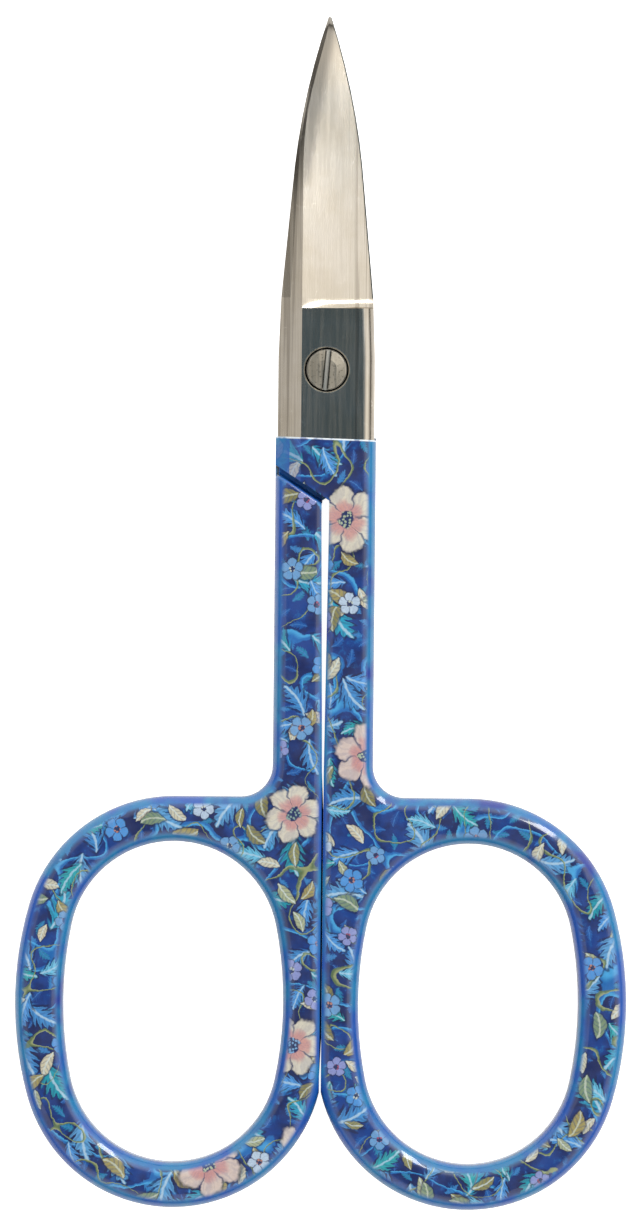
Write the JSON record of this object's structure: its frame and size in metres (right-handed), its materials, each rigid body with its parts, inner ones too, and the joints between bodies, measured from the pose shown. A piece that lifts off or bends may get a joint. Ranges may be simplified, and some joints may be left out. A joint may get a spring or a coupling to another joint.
{
  "type": "thread snips",
  "caption": "Small straight thread scissors with pointed steel blades, a slotted pivot screw and oval finger bows coated in a dark blue floral print.",
  "frame": {"origin": "on the pivot axis, at the flat back face of the rear half, where the pivot screw's end is flush", "axes": "+Y along the closed blades to the tips, +Z along the pivot axis towards the screw head, +X to the side of the front half's handle"},
  "size_m": [0.0486, 0.0949, 0.0036],
  "materials": {
    "steel_front": "ground and polished stainless steel",
    "steel_rear": "ground and polished stainless steel",
    "screw_steel": "worn bright steel",
    "print_front": "glossy lacquer over a floral print",
    "print_rear": "glossy lacquer over a floral print"
  },
  "bodies": {
    "rear": {"rear_half": "steel_rear", "rear_handle_coat": "print_rear", "pivot_screw": "screw_steel"},
    "front": {"front_half": "steel_front", "front_handle_coat": "print_front"}
  },
  "joints": [
    {"name": "pivot", "type": "hinge", "parent": "rear", "child": "front", "pos_m": [0, 0, 0], "axis": [0, 0, 1], "range_deg": [0, 130]}
  ]
}
